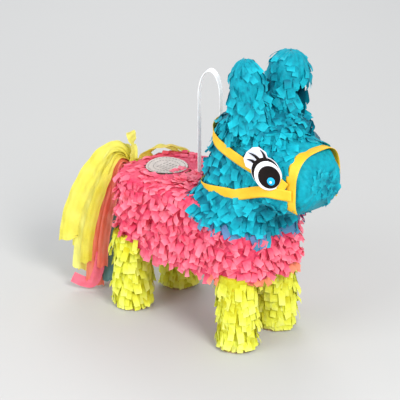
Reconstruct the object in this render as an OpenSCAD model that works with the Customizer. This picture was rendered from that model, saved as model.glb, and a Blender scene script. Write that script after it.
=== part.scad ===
// Donkey pinata: card structure, tissue fringe, paper bridle, hanging strap and streamer tail.
// Millimetres. The nose points to -Y, the donkey's right side is -X, the feet stand on Z = 0.

/* [Body] */
// card body width, side to side
body_w = 102; // [99:1:106]
// card body length, chest to rump
body_l = 194; // [191:1:197]
// height of the belly panel above the floor
belly_z = 80; // [76:1:84]
// height of the card body, belly to back
body_h = 74; // [71:1:76]
// thickness of the card
card = 1.6; // [1.2:0.1:2]
// thickness of the tissue fringe on the body
body_nap = 9; // [7:0.5:10]

/* [Legs] */
// outside radius of a rolled card leg
leg_r = 19; // [17:0.5:20]
// thickness of the fringe on a leg
leg_nap = 4.5; // [3:0.5:5]
// leg position across, from the middle
leg_x = 37; // [36:0.5:38]
// leg position along, from the middle
leg_y = 77; // [74:1:78]

/* [Head] */
// card neck width
neck_w = 72; // [69:1:75]
// card neck depth, square to its lean
neck_l = 86; // [83:1:88]
// forward lean of the neck in degrees
lean = 13; // [11:1:15]
// height of the card crown
crown_z = 243; // [240:1:245]
// thickness of the fringe on the neck and head
neck_nap = 7.5; // [6:0.5:8.5]
// overall height to the ear tips
ear_top_z = 314; // [310:1:318]
// width of the bridle tape
tape_w = 12; // [10:0.5:14]

/* [Fill hole and strap] */
// radius of the fill hole in the back panel
hole_r = 19; // [17:0.5:20]
// radius of the fill flap and its round label
flap_r = 23; // [22:0.5:24]
// distance between the two runs of the hanging strap
strap_gap = 24; // [22:1:26]
// width of the hanging strap
strap_w = 10; // [8:0.5:11]
// height of the top of the hanging strap
strap_top_z = 277; // [270:1:282]

/* [Hidden] */
$fn = 64;
back_z = belly_z + body_h;

corner_r = 31;
flap_y = 60;
strap_t = 0.8;
strap_x = 11;
strap_y = 6;
arch_h = 29;
arch_z = strap_top_z - arch_h - strap_t / 2;
arch_steps = 48;
strap_turn = -65;
lean_room = 2.6;
ear_x = 27;
ear_y = -84;
ear_r = 17;
ear_nap = 6;
hip_y = 106.6;
hip_z = 154;
nape_y = -62;

// ---- shared shapes ----

// upright block with round corners, centred on the Z axis
module rounded_block(w, l, r, z0, z1) {
    translate([-w / 2 + r, -l / 2, z0])
        cube([w - 2 * r, l, z1 - z0]);
    translate([-w / 2, -l / 2 + r, z0])
        cube([w, l - 2 * r, z1 - z0]);
    for (sx = [-1, 1], sy = [-1, 1])
        translate([sx * (w / 2 - r), sy * (l / 2 - r), z0])
            cylinder(h = z1 - z0, r = r);
}

// card body grown by g, from z0 to z1
module torso(g, z0, z1) {
    rounded_block(body_w + 2 * g, body_l + 2 * g, corner_r + g, z0, z1);
}

// leaning neck column grown by g, cut level at z0 and z1
module column(g, z0, z1) {
    intersection() {
        translate([0, nape_y, back_z])
            rotate([lean, 0, 0])
                rounded_block(neck_w + 2 * g, neck_l + 2 * g, 23 + g, -90, 190);
        translate([-100, -250, z0])
            cube([200, 400, z1 - z0]);
    }
}

// wedge-shaped muzzle, scaled about its middle so that each wall moves out by about g
module muzzle(g) {
    k = 1 + g / 33;
    translate([0, -132, 196])
        scale(k)
            translate([0, 132, -196])
                intersection() {
                    translate([-60, 0, 0])
                        rotate([90, 0, 90])
                            linear_extrude(height = 120)
                                polygon([[-96, 168], [-122, 162], [-144, 162], [-152, 172],
                                    [-157.5, 193], [-153, 214], [-144, 223], [-120, 232], [-96, 236]]);
                    translate([0, 0, 140])
                        linear_extrude(height = 130)
                            polygon([[-36, -92], [-34, -120], [-29, -147], [-20, -160],
                                [20, -160], [29, -147], [34, -120], [36, -92]]);
                    translate([0, -80, 195])
                        rotate([90, 0, 0])
                            rounded_block(72, 76, 27, 0, 100);
                }
}

module each_side(side) {
    if (side < 0) children();
    else mirror([1, 0, 0]) children();
}

// ---- card structure ----

module torso_wall() {
    color("tan")
        difference() {
            torso(0, belly_z, back_z);
            torso(-card, belly_z - 1, back_z + 1);
        }
}

// one slit for each run of the strap, long enough for the strap to lean in it
module strap_slits() {
    for (s = [-1, 1])
        translate([strap_x, strap_y, 0])
            rotate([0, 0, strap_turn])
                translate([s * strap_gap / 2, 0, back_z - card / 2])
                    cube([strap_t + 0.8, strap_w + 2 * lean_room, card + 2], center = true);
}

module back_panel() {
    color("tan")
        difference() {
            torso(-card - 0.05, back_z - card, back_z);
            translate([0, flap_y, back_z - 5])
                cylinder(h = 10, r = hole_r);
            strap_slits();
        }
}

module belly_panel() {
    color("tan") torso(-card - 0.05, belly_z, belly_z + card);
}

module strap_anchor() {
    color("tan")
        translate([strap_x, strap_y, 0])
            rotate([0, 0, strap_turn])
                translate([-strap_gap / 2 + 1, -9, back_z - card - 2.4])
                    cube([strap_gap - 2, 18, 2.2]);
}

module neck_wall() {
    color("tan")
        difference() {
            column(0, back_z + 0.1, crown_z);
            column(-card, back_z - 1, crown_z + 1);
        }
}

module crown_panel() {
    color("tan") column(0, crown_z, crown_z + card);
}

module muzzle_shell() {
    color("tan")
        difference() {
            muzzle(0);
            muzzle(-1.8);
            column(0, 100, 300);
        }
}

module ear_former() {
    translate([-ear_x, ear_y, crown_z + card + 0.1])
        rotate([4, -5, -25])
            difference() {
                union() {
                    cylinder(h = 46, r1 = ear_r - 2, r2 = ear_r);
                    translate([0, 0, 46])
                        sphere(r = ear_r);
                }
                cylinder(h = 46, r1 = ear_r - 2 - card, r2 = ear_r - card);
                translate([0, 0, 46])
                    sphere(r = ear_r - card);
                translate([-40, -64, 4])
                    cube([80, 60, 40]);
                translate([0, -60, 47])
                    rotate([0, 90, 0])
                        cylinder(h = 80, r = 52, center = true);
                translate([-40, -40, -9])
                    cube([80, 80, 10]);
            }
}

module ear_former_right() { color("tan") each_side(-1) ear_former(); }
module ear_former_left() { color("tan") each_side(1) ear_former(); }

// the front left leg stands a little further in and back than the others
function leg_at(sx, sy) =
    sx > 0 && sy < 0 ? [leg_x - 6, 4 - leg_y, 0] : [sx * leg_x, sy * leg_y, 0];

module leg_tube(sx, sy) {
    color("tan")
        translate(leg_at(sx, sy))
            difference() {
                cylinder(h = belly_z - 0.1, r = leg_r);
                translate([0, 0, -1])
                    cylinder(h = belly_z + 2, r = leg_r - card);
            }
}

module leg_tube_front_right() { leg_tube(-1, -1); }
module leg_tube_front_left() { leg_tube(1, -1); }
module leg_tube_rear_right() { leg_tube(-1, 1); }
module leg_tube_rear_left() { leg_tube(1, 1); }

module foot_disc(sx, sy) {
    color("tan")
        translate(leg_at(sx, sy))
            cylinder(h = card, r = leg_r - card - 0.05);
}

module foot_disc_front_right() { foot_disc(-1, -1); }
module foot_disc_front_left() { foot_disc(1, -1); }
module foot_disc_rear_right() { foot_disc(-1, 1); }
module foot_disc_rear_left() { foot_disc(1, 1); }

// ---- tissue fringe, as plain closed shells ----

// full outside of the body fringe: upright sides, softened top edge
module body_outside() {
    hull() {
        torso(body_nap, belly_z - 8, back_z - 10);
        torso(-1, back_z - 2, back_z + 3.5);
    }
}

// the shoulder, where the neck colour reaches down over the body
module shoulder_zone() {
    translate([-100, 0, 0])
        rotate([90, 0, 90])
            linear_extrude(height = 200)
                polygon([[-14, 240], [-14, 160], [-40, 142], [-88, 131], [-110, 118], [-180, 118], [-180, 240]]);
}

module card_inside() {
    torso(0.05, belly_z - 0.05, back_z + 0.05);
    column(0.05, back_z - 1, crown_z + card + 0.05);
}

module legs_solid(r) {
    for (sx = [-1, 1], sy = [-1, 1])
        translate(leg_at(sx, sy) - [0, 0, 1])
            cylinder(h = 120, r = r);
}

module strap_path_hole() {
    translate([strap_x, strap_y, back_z])
        rotate([0, 0, strap_turn])
            translate([-strap_gap / 2 - 3, -strap_w / 2 - 6, -20])
                cube([strap_gap + 6, strap_w + 12, 60]);
}

module body_fringe() {
    color("hotpink")
        difference() {
            body_outside();
            shoulder_zone();
            head_outside();
            card_inside();
            torso(-10, belly_z - 20, belly_z - 3);
            legs_solid(leg_r + 0.05);
            translate([0, flap_y, back_z])
                cylinder(h = 20, r = flap_r + 1);
            translate([-12, flap_y - flap_r - 6, back_z])
                cube([24, 20, 20]);
            strap_path_hole();
        }
}

module head_outside() {
    hull() {
        column(neck_nap, back_z - 6, crown_z - 6);
        column(-2, crown_z, crown_z + 14);
    }
}

module neck_fringe() {
    color("darkturquoise")
        difference() {
            union() {
                head_outside();
                intersection() {
                    body_outside();
                    shoulder_zone();
                }
            }
            card_inside();
            strap_path_hole();
            muzzle(0.05);
            each_side(-1) ear_block(0.1);
            each_side(1) ear_block(0.1);
        }
}

module muzzle_wrap() {
    color("darkturquoise")
        difference() {
            muzzle(2.5);
            muzzle(0.05);
            head_outside();
        }
}

// outside of one ear's fringe, grown by g
module ear_block(g) {
    translate([-ear_x, ear_y, crown_z + card + 0.1])
        rotate([4, -5, -25]) {
            cylinder(h = 46, r1 = ear_r - 2 + g, r2 = ear_r + g);
            translate([0, 0, 46])
                sphere(r = ear_r + g);
        }
}

module ear_cut() {
    translate([-ear_x, ear_y, crown_z + card + 0.1])
        rotate([4, -5, -25])
            translate([0, -71, 40])
                rotate([0, 90, 0])
                    cylinder(h = 90, r = 56, center = true);
}

module ear_fringe() {
    difference() {
        ear_block(ear_nap);
        ear_block(0.05);
        ear_cut();
        translate([-100, -200, crown_z - 30])
            cube([200, 200, 30 + 14.1]);
        translate([-100, -200, ear_top_z])
            cube([200, 200, 20]);
    }
}

module ear_fringe_right() { color("darkturquoise") each_side(-1) ear_fringe(); }
module ear_fringe_left() { color("darkturquoise") each_side(1) ear_fringe(); }

module leg_fringe(sx, sy) {
    color("yellow")
        translate(leg_at(sx, sy))
            difference() {
                translate([0, 0, 1.5])
                    cylinder(h = belly_z - 8.2 - 1.5, r = leg_r + leg_nap);
                translate([0, 0, -1])
                    cylinder(h = belly_z, r = leg_r + 0.05);
            }
}

module leg_fringe_front_right() { leg_fringe(-1, -1); }
module leg_fringe_front_left() { leg_fringe(1, -1); }
module leg_fringe_rear_right() { leg_fringe(-1, 1); }
module leg_fringe_rear_left() { leg_fringe(1, 1); }

// ---- paper bridle and eyes ----

// thin layer lying on the outside of head and muzzle
module tape_layer() {
    difference() {
        union() {
            column(neck_nap + 0.7, back_z + 8, crown_z - 7);
            muzzle(3.3);
        }
        column(neck_nap + 0.1, back_z, crown_z);
        muzzle(2.6);
    }
}

// sloping slab: passes through (y, z) and rises by `rise` degrees towards the tail
module slab(y, z, rise, front, back) {
    intersection() {
        translate([0, y, z])
            rotate([rise, 0, 0])
                translate([-80, -200, -tape_w / 2])
                    cube([160, 400, tape_w]);
        translate([-80, front, 100])
            cube([160, back - front, 250]);
    }
}

module noseband() {
    color("goldenrod")
        intersection() {
            tape_layer();
            translate([-80, -151, 177])
                cube([160, tape_w, 80]);
        }
}

module crown_strap() {
    color("goldenrod")
        intersection() {
            tape_layer();
            slab(-80, 215, 15, -132, 20);
        }
}

module throat_strap() {
    color("goldenrod")
        intersection() {
            tape_layer();
            slab(-80, 177, -12, -138.9, 20);
        }
}

module eye() {
    translate([-41.6, -118, 204])
        rotate([0, 0, 19])
            rotate([0, -90, 0])
                cylinder(h = 0.6, r = 16);
}

module eye_right() { color("white") each_side(-1) eye(); }
module eye_left() { color("white") each_side(1) eye(); }

// ---- hanging strap ----

// a point of the arch, moved out from its middle line by d
function arch_point(i, d) =
    let (t = 180 * i / arch_steps, a = strap_gap / 2, b = arch_h,
        n = norm([b * cos(t), a * sin(t)]))
    [a * cos(t) + d * b * cos(t) / n, b * sin(t) + d * a * sin(t) / n];

module hanging_strap() {
    a = strap_gap / 2;
    h = strap_t / 2;
    foot = back_z + 0.6 - arch_z;
    outer = [for (i = [0:arch_steps]) arch_point(i, h)];
    inner = [for (i = [arch_steps:-1:0]) arch_point(i, -h)];
    color("white")
        translate([strap_x, strap_y, arch_z])
            rotate([90, 0, strap_turn])
                translate([0, 0, -strap_w / 2])
                    linear_extrude(height = strap_w)
                        polygon(concat([[a + h, foot]], outer, [[-a - h, foot], [h - a, foot]],
                            inner, [[a - h, foot]]));
}

// ---- fill flap and label ----

module fill_flap() {
    color("tan")
        translate([0, 0, back_z + 0.1]) {
            translate([0, flap_y, 0])
                cylinder(h = 1.2, r = flap_r);
            translate([-10, flap_y - flap_r - 3, 0])
                cube([20, 12, 1.2]);
        }
}

module fill_label() {
    color("silver")
        translate([0, flap_y, back_z + 1.32])
            cylinder(h = 0.25, r = flap_r);
}

// ---- tail ----

module tail_root() {
    color("yellow")
        translate([0, hip_y + 0.6, hip_z - 8.5])
            rotate([-90, 0, 0])
                cylinder(h = 7.7, r = 8);
}

// strip that arches back from the root in the direction `aim`, then hangs to `low`
module streamer(aim, r, w, t, drop, low) {
    intersection() {
        translate([0, hip_y + 8.4, hip_z - 8])
            rotate([0, 0, aim]) {
                translate([-w / 2, 0, 10 - drop - r])
                    rotate([90, 0, 90])
                        rotate_extrude(angle = 90)
                            translate([r - t, 0])
                                square([t, w]);
                translate([-w / 2, r - t, low - hip_z + 8])
                    cube([w, t, hip_z + 2 - drop - r - low]);
            }
        translate([-100, hip_y + 8.4, 0])
            cube([200, 100, 200]);
    }
}

module tail_yellow() {
    color("yellow") {
        streamer(56, 62, 24, 3, 0, 36);
        streamer(14, 40, 34, 3, 0.4, 44);
        streamer(-30, 42, 28, 3, 0.8, 60);
    }
}

module tail_coral() {
    color("coral") {
        streamer(44, 34, 24, 3, 5, 8);
        streamer(8, 33, 24, 3, 5.4, 14);
    }
}

module tail_teal() {
    color("teal") streamer(20, 24, 22, 2, 9.5, 20);
}

// ---- output ----

torso_wall();
back_panel();
belly_panel();
strap_anchor();
neck_wall();
crown_panel();
muzzle_shell();
ear_former_right();
ear_former_left();
leg_tube_front_right();
leg_tube_front_left();
leg_tube_rear_right();
leg_tube_rear_left();
foot_disc_front_right();
foot_disc_front_left();
foot_disc_rear_right();
foot_disc_rear_left();
body_fringe();
neck_fringe();
muzzle_wrap();
ear_fringe_right();
ear_fringe_left();
leg_fringe_front_right();
leg_fringe_front_left();
leg_fringe_rear_right();
leg_fringe_rear_left();
noseband();
crown_strap();
throat_strap();
eye_right();
eye_left();
hanging_strap();
fill_flap();
fill_label();
tail_root();
tail_yellow();
tail_coral();
tail_teal();
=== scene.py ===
"""Looks of the donkey pinata: fringed tissue, paper bridle, printed eyes and streamer tail."""

import bpy
import numpy as np
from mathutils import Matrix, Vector


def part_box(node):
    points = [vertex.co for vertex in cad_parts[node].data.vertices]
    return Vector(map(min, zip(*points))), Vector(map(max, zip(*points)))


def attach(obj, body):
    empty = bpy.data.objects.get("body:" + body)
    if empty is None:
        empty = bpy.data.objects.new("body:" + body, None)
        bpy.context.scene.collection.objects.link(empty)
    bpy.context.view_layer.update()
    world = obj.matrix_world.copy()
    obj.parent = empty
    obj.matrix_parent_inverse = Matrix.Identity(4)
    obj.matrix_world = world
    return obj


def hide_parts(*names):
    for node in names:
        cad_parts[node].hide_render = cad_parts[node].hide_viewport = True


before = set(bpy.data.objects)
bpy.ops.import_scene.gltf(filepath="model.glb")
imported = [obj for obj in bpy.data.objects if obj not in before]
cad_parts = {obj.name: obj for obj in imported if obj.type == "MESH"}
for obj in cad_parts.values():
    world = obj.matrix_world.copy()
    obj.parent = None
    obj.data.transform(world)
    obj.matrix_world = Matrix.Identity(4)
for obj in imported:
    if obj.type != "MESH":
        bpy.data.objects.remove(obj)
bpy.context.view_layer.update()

# Shapes are worked out in millimetres, in the frame of the model, and scaled to metres at the end.
MM = 0.001
# A little over a whole turn, in radians: the crumples of the paper are waves with this phase.
TURN = 6.3
rng = np.random.default_rng(11)


def box_mm(node):
    low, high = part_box(node)
    return np.array(low) / MM, np.array(high) / MM


def unit(v):
    return v / np.maximum(np.linalg.norm(v, axis=-1, keepdims=True), 1e-9)


def vec(*parts):
    return np.array(parts, dtype=float)


def xyz(x, y, z):
    """Points from their three coordinates, each an array or one number."""
    return np.stack(np.broadcast_arrays(x, y, z), axis=-1)


def linked(name, data):
    """A new object, linked into the scene."""
    obj = bpy.data.objects.new(name, data)
    bpy.context.collection.objects.link(obj)
    return obj


# ---- camera, floor and light

def look_at(obj, target):
    obj.rotation_euler = (Vector(target) - obj.location).to_track_quat("-Z", "Y").to_euler()


def make_camera():
    data = bpy.data.cameras.new("camera")
    cam = linked("camera", data)
    azimuth, elevation, distance = np.radians(-47.0), np.radians(22.0), 2.0
    aside, upward = -0.0077, 0.1243
    away = vec(np.sin(azimuth) * np.cos(elevation), -np.cos(azimuth) * np.cos(elevation), np.sin(elevation))
    right = unit(np.cross(vec(0, 0, 1), away))
    up = np.cross(away, right)
    aim = right * aside + up * upward
    cam.location = aim + away * distance
    data.lens = 163.6
    data.sensor_width = 36.0
    look_at(cam, aim)
    bpy.context.scene.camera = cam


def make_lamp(name, place, size, power, colour=(1, 1, 1)):
    data = bpy.data.lights.new(name, "AREA")
    data.shape = "SQUARE"
    data.size = size
    data.energy = power
    data.color = colour
    lamp = linked(name, data)
    lamp.location = place
    look_at(lamp, (0, 0, 0.15))


def make_studio():
    make_lamp("key", (-0.55, -1.5, 1.35), 0.7, 34, (1.0, 0.98, 0.95))
    make_lamp("fill", (-1.6, 0.35, 0.8), 1.0, 16, (0.95, 0.98, 1.0))
    make_lamp("back", (1.1, 1.2, 1.3), 0.8, 11)
    world = bpy.data.worlds.new("world")
    bpy.context.scene.world = world
    world.use_nodes = True
    sky = world.node_tree.nodes["Background"].inputs
    sky["Color"].default_value = (0.93, 0.95, 1.0, 1)
    sky["Strength"].default_value = 0.8
    bpy.context.scene.view_settings.view_transform = "Standard"
    mesh = bpy.data.meshes.new("floor")
    half = 4.0
    corners = [(-half, -half, 0), (half, -half, 0), (half, half, 0), (-half, half, 0)]
    mesh.from_pydata(corners, [], [(0, 1, 2, 3)])
    floor = linked("floor", mesh)
    paint = bpy.data.materials.new("floor")
    paint.use_nodes = True
    shader = paint.node_tree.nodes["Principled BSDF"]
    shader.inputs["Base Color"].default_value = (0.5, 0.5, 0.49, 1)
    shader.inputs["Roughness"].default_value = 0.85
    mesh.materials.append(paint)


# ---- materials

def linear(r, g, b):
    """A colour given as it looks on a screen, 0 to 255, as Blender's linear light."""
    c = vec(r, g, b) / 255
    return (*np.where(c <= 0.04045, c / 12.92, ((c + 0.055) / 1.055) ** 2.4), 1.0)


class Shader:
    """Short ways to add and join nodes in one material."""

    def __init__(self, name):
        self.material = bpy.data.materials.new(name)
        self.material.use_nodes = True
        self.tree = self.material.node_tree
        self.main = self.tree.nodes["Principled BSDF"]
        self.output = self.tree.nodes["Material Output"]

    def add(self, kind, **sockets):
        node = self.tree.nodes.new(kind)
        for name, value in sockets.items():
            self.put(node, name.replace("_", " "), value)
        return node

    def put(self, node, name, value):
        socket = node.inputs[name]
        if isinstance(value, bpy.types.NodeSocket):
            self.tree.links.new(value, socket)
        else:
            socket.default_value = value

    def place(self):
        return self.add("ShaderNodeTexCoord").outputs["Object"]

    def noise(self, scale, detail=3.0, stretch=None):
        place = self.place()
        if stretch:
            place = self.add("ShaderNodeMapping", Vector=place, Scale=stretch).outputs[0]
        return self.add("ShaderNodeTexNoise", Vector=place, Scale=scale, Detail=detail).outputs[0]

    def creases(self, scale):
        """Straight-edged facets, as paper that has been crumpled and smoothed shows."""
        node = self.add("ShaderNodeTexVoronoi", Vector=self.place(), Scale=scale)
        node.feature = "DISTANCE_TO_EDGE"
        return node.outputs["Distance"]

    def math(self, kind, a, b=0.0, clamp=False):
        node = self.tree.nodes.new("ShaderNodeMath")
        node.operation = kind
        node.use_clamp = clamp
        self.put(node, 0, a)
        self.put(node, 1, b)
        return node.outputs[0]

    def weigh(self, *parts, clamp=False):
        """A sum of values, each times its weight."""
        total, *rest = [self.math("MULTIPLY", value, weight) for value, weight in parts]
        for term in rest:
            total = self.math("ADD", total, term, clamp)
        return total

    def between(self, value, low, high):
        """A value from 0 to 1 put between two others."""
        return self.add("ShaderNodeMapRange", Value=value, To_Min=low, To_Max=high).outputs[0]

    def marks(self):
        """The `paper` values of the mesh: how far along its tab, the tab's chance and its tint."""
        node = self.add("ShaderNodeAttribute")
        node.attribute_name = "paper"
        return self.add("ShaderNodeSeparateColor", Color=node.outputs["Color"]).outputs[:3]

    def ramp(self, value, *stops):
        node = self.add("ShaderNodeValToRGB", Fac=value)
        for element, (place, colour) in zip(node.color_ramp.elements, (stops[0], stops[-1])):
            element.position = place
            element.color = colour
        for place, colour in stops[1:-1]:
            node.color_ramp.elements.new(place).color = colour
        return node.outputs["Color"]

    def mix(self, amount, a, b):
        node = self.tree.nodes.new("ShaderNodeMix")
        node.data_type = "RGBA"
        self.put(node, 0, amount)
        self.put(node, 6, a)
        self.put(node, 7, b)
        return node.outputs[2]

    def bump(self, height, strength, distance):
        node = self.add("ShaderNodeBump", Height=height, Strength=strength, Distance=distance)
        self.put(self.main, "Normal", node.outputs[0])
        return node.outputs[0]

    def set(self, **sockets):
        for name, value in sockets.items():
            self.put(self.main, name.replace("_", " "), value)

    def see_through(self, colour, share, normal):
        """Thin paper lets part of the light through to its other side."""
        thin = self.add("ShaderNodeBsdfTranslucent", Color=colour, Normal=normal)
        both = self.tree.nodes.new("ShaderNodeMixShader")
        both.inputs[0].default_value = share
        self.tree.links.new(self.main.outputs[0], both.inputs[1])
        self.tree.links.new(thin.outputs[0], both.inputs[2])
        self.tree.links.new(both.outputs[0], self.output.inputs["Surface"])


def tissue(name, root, middle, tip, other):
    """Fringed tissue: darker at the root of each tab as painted shade, lighter at its tip, `other` where
    tinted.
    """
    s = Shader(name)
    along, chance, tint = s.marks()
    mottle = s.noise(230, 4.0)
    uneven = s.math("SUBTRACT", mottle, 0.5)
    # Painted shade: the lower `along` is, the nearer a tab's root and the darker the colour; paper marked as
    # at a root gets that shade too.
    tone = s.weigh((along, 0.46), (chance, 0.34), (uneven, 0.5), clamp=True)
    colour = s.mix(tint, s.ramp(tone, (0.05, root), (0.42, middle), (0.95, tip)), other)
    crumple = s.weigh((s.creases(260), 0.9), (s.noise(1200, 2.0), 0.25))
    normal = s.bump(crumple, 0.55, 0.0006)
    rough = s.between(mottle, 0.5, 0.72)
    s.set(Base_Color=colour, Roughness=rough, Sheen_Weight=0.04, Sheen_Roughness=0.5, Specular_IOR_Level=0.18)
    s.see_through(colour, 0.22, normal)
    return s.material


def crepe(name, deep, light, share):
    """Crepe paper: fine creases across the streamer, uneven and half see-through."""
    s = Shader(name)
    along, chance, _ = s.marks()
    mottle = s.noise(70, 4.0)
    tone = s.weigh((chance, 0.5), (mottle, 0.6), clamp=True)
    colour = s.ramp(tone, (0.2, deep), (0.85, light))
    ribs = s.math("SINE", s.math("MULTIPLY", along, 900.0))
    normal = s.bump(s.weigh((ribs, 0.35), (s.noise(420, 3.0), 1.0)), 0.4, 0.0005)
    rough = s.between(mottle, 0.5, 0.75)
    s.set(Base_Color=colour, Roughness=rough, Sheen_Weight=0.1, Specular_IOR_Level=0.35)
    s.see_through(colour, share, normal)
    return s.material


def card():
    """Grey-brown chipboard with fibres and flecks."""
    s = Shader("card")
    fibre = s.noise(500, 5.0, (1.0, 1.0, 0.25))
    fleck = s.noise(1500, 2.0)
    tone = s.weigh((fibre, 0.7), (fleck, 0.3))
    dark, middle, light = linear(138, 112, 78), linear(176, 148, 108), linear(198, 174, 136)
    colour = s.ramp(tone, (0.3, dark), (0.55, middle), (0.75, light))
    s.bump(tone, 0.3, 0.0002)
    s.set(Base_Color=colour, Roughness=s.between(fibre, 0.75, 0.95), Specular_IOR_Level=0.25)
    return s.material


def gold_tape():
    """Golden paper tape, softly creased, with a fine fibre."""
    s = Shader("gold_tape")
    cloud = s.noise(45, 3.0)
    fibre = s.noise(900, 3.0)
    tone = s.weigh((cloud, 0.8), (fibre, 0.2))
    dark, middle, light = linear(222, 170, 20), linear(238, 188, 36), linear(246, 202, 60)
    colour = s.ramp(tone, (0.3, dark), (0.5, middle), (0.7, light))
    s.bump(s.weigh((fibre, 1.0), (s.creases(60), 0.6)), 0.25, 0.0004)
    s.set(Base_Color=colour, Roughness=s.between(cloud, 0.5, 0.68), Specular_IOR_Level=0.4)
    return s.material


def print_ink(name, dark, light):
    """Printed sticker paper in one ink, with slight unevenness in tone and gloss."""
    s = Shader(name)
    cloud = s.noise(120, 3.0)
    s.bump(s.noise(1600, 2.0), 0.12, 0.0001)
    colour = s.ramp(cloud, (0.35, dark), (0.65, light))
    s.set(Base_Color=colour, Roughness=s.between(cloud, 0.32, 0.47), Specular_IOR_Level=0.2)
    return s.material


def strap_plastic():
    """White woven plastic strap with a fine ribbed weave."""
    s = Shader("strap_plastic")
    weave = s.add("ShaderNodeTexWave", Vector=s.place(), Scale=420.0, Distortion=0.6, Detail=1.0)
    weave.bands_direction = "Z"
    cloud = s.noise(150, 3.0)
    s.bump(weave.outputs[1], 0.3, 0.0002)
    colour = s.ramp(cloud, (0.3, linear(226, 226, 228)), (0.7, linear(247, 247, 247)))
    s.set(Base_Color=colour, Roughness=s.between(cloud, 0.38, 0.55), Specular_IOR_Level=0.5)
    return s.material


def silver_label():
    """Silver-grey satin sticker, faintly brushed and cloudy."""
    s = Shader("silver_label")
    cloud = s.noise(90, 4.0)
    brush = s.noise(500, 3.0, (1.0, 6.0, 1.0))
    tone = s.weigh((cloud, 0.6), (brush, 0.4))
    dark, middle, light = linear(118, 110, 104), linear(146, 136, 129), linear(174, 165, 158)
    colour = s.ramp(tone, (0.32, dark), (0.5, middle), (0.72, light))
    s.bump(brush, 0.15, 0.0001)
    s.set(Base_Color=colour, Roughness=s.between(cloud, 0.32, 0.5), Metallic=0.25)
    return s.material


# ---- mesh building

# No paper comes nearer to the floor than this.
FLOOR_GAP = 0.3


class Paper:
    """Collects grids of points, in millimetres, into one mesh with a `paper` value at each point."""

    def __init__(self):
        self.points = []
        self.marks = []
        self.faces = []
        self.skins = []
        self.count = 0

    def grids(self, points, marks, material=0, closed=False):
        """Add one grid, (rows, columns, 3), or n at once; marks are of that shape or one for all."""
        points = points.reshape(-1, *points.shape[-3:])
        n, rows, cols, _ = points.shape
        marks = np.broadcast_to(marks, points.shape)
        index = self.count + np.arange(n * rows * cols).reshape(n, rows, cols)
        if closed:
            index = np.concatenate([index, index[:, :, :1]], axis=2)
        corners = [index[:, :-1, :-1], index[:, :-1, 1:], index[:, 1:, 1:], index[:, 1:, :-1]]
        quads = np.stack(corners, axis=-1)
        self.faces += quads.reshape(-1, 4)[:, ::-1].tolist()
        self.skins += [material] * quads[..., 0].size
        self.points.append(points.reshape(-1, 3))
        self.marks.append(marks.reshape(-1, 3))
        self.count += n * rows * cols

    def drop(self, unwanted):
        """Leave out the faces whose middle is where `unwanted` says."""
        points = np.concatenate(self.points)
        middles = np.array([points[face].mean(axis=0) for face in self.faces])
        keep = ~unwanted(middles)
        self.faces = [face for face, stay in zip(self.faces, keep) if stay]
        self.skins = [skin for skin, stay in zip(self.skins, keep) if stay]

    def outline(self, points, material=0):
        """Add one flat face with the given corners."""
        self.points.append(points)
        self.marks.append(np.zeros_like(points))
        self.faces.append(list(range(self.count, self.count + len(points))))
        self.skins.append(material)
        self.count += len(points)

    def build(self, name, body, materials, thickness=0.0):
        """Make the mesh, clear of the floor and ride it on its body."""
        mesh = bpy.data.meshes.new(name)
        points = np.concatenate(self.points)
        points[:, 2] = np.maximum(points[:, 2], FLOOR_GAP)
        mesh.from_pydata((points * MM).tolist(), [], self.faces)
        marks = np.concatenate(self.marks)
        colours = np.ones((len(marks), 4), dtype=np.float32)
        colours[:, :3] = marks
        mesh.attributes.new("paper", "FLOAT_COLOR", "POINT").data.foreach_set("color", colours.ravel())
        mesh.polygons.foreach_set("use_smooth", [True] * len(mesh.polygons))
        mesh.polygons.foreach_set("material_index", self.skins)
        for material in materials:
            mesh.materials.append(material)
        piece = linked(name, mesh)
        if thickness:
            solid = piece.modifiers.new("thickness", "SOLIDIFY")
            solid.thickness = thickness * MM
            solid.offset = 0.0
        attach(piece, body)
        return piece


def flaps(paper, at, down, out, width, length, lift, curl, spread, most, tint=0.0, chance=None, hug=0.0):
    """Add one cut tab of tissue at each point: it leaves its root along `down` and bends `out`, up to
    `most`. `hug` is how sharply it follows a skin that curves away below it, as 1 / radius.
    A width, length or lift may be a pair (from, to), and a curl a pair (mean, deviation)."""
    n = len(at)
    width, length, lift = (rng.uniform(*v, n) if isinstance(v, tuple) else v for v in (width, length, lift))
    if isinstance(curl, tuple):
        curl = rng.normal(*curl, n)
    rows, cols = 7, 4
    width, length, lift, curl, most, tint = (
        np.broadcast_to(v, (n,)).astype(float)[:, None, None] for v in (width, length, lift, curl, most, tint)
    )
    side = unit(np.cross(down, out))
    yaw = rng.normal(0, 1, (n, 1)) * spread
    down, side = down * np.cos(yaw) + side * np.sin(yaw), side * np.cos(yaw) - down * np.sin(yaw)
    t = np.linspace(0, 1, rows)[None, :, None]
    s = np.linspace(-0.5, 0.5, cols)[None, None, :]
    bend = lift + curl * t
    step = length / (rows - 1)
    along = np.cumsum(np.cos(bend) * step, axis=1) - step
    rise = np.cumsum(np.sin(bend) * step, axis=1)
    roll = rng.normal(0, 0.32, (n, 1, 1)) * t
    cup = rng.uniform(-0.14, 0.2, (n, 1, 1)) * width
    wave = rng.uniform(0, TURN, (3, n, 1, 1))
    crinkle = 0.45 * np.sin(9 * t + wave[0] + 3 * s) + 0.3 * np.sin(8 * s + wave[1] + 4 * t)
    skew = 0.12 * length * np.sin(wave[2]) * s * t
    across = width * s * (1 - 0.06 * t)
    height = rise + across * np.sin(roll) + cup * (4 * s * s - 1) * t + crinkle * (0.25 + t)
    height = np.where(height > 0, most * np.tanh(height / most), height * 0.3) - hug * along**2 / 2
    side, down, out = (v[:, None, None, :] for v in (side, down, out))
    points = (
        at[:, None, None, :]
        + down * (along + skew)[..., None]
        + out * height[..., None]
        + side * (across * np.cos(roll))[..., None]
    )
    if chance is None:
        chance = rng.uniform(0, 1, n)
    paper.grids(points, xyz(t + 0 * s, chance[:, None, None] + 0 * s, tint))


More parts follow.
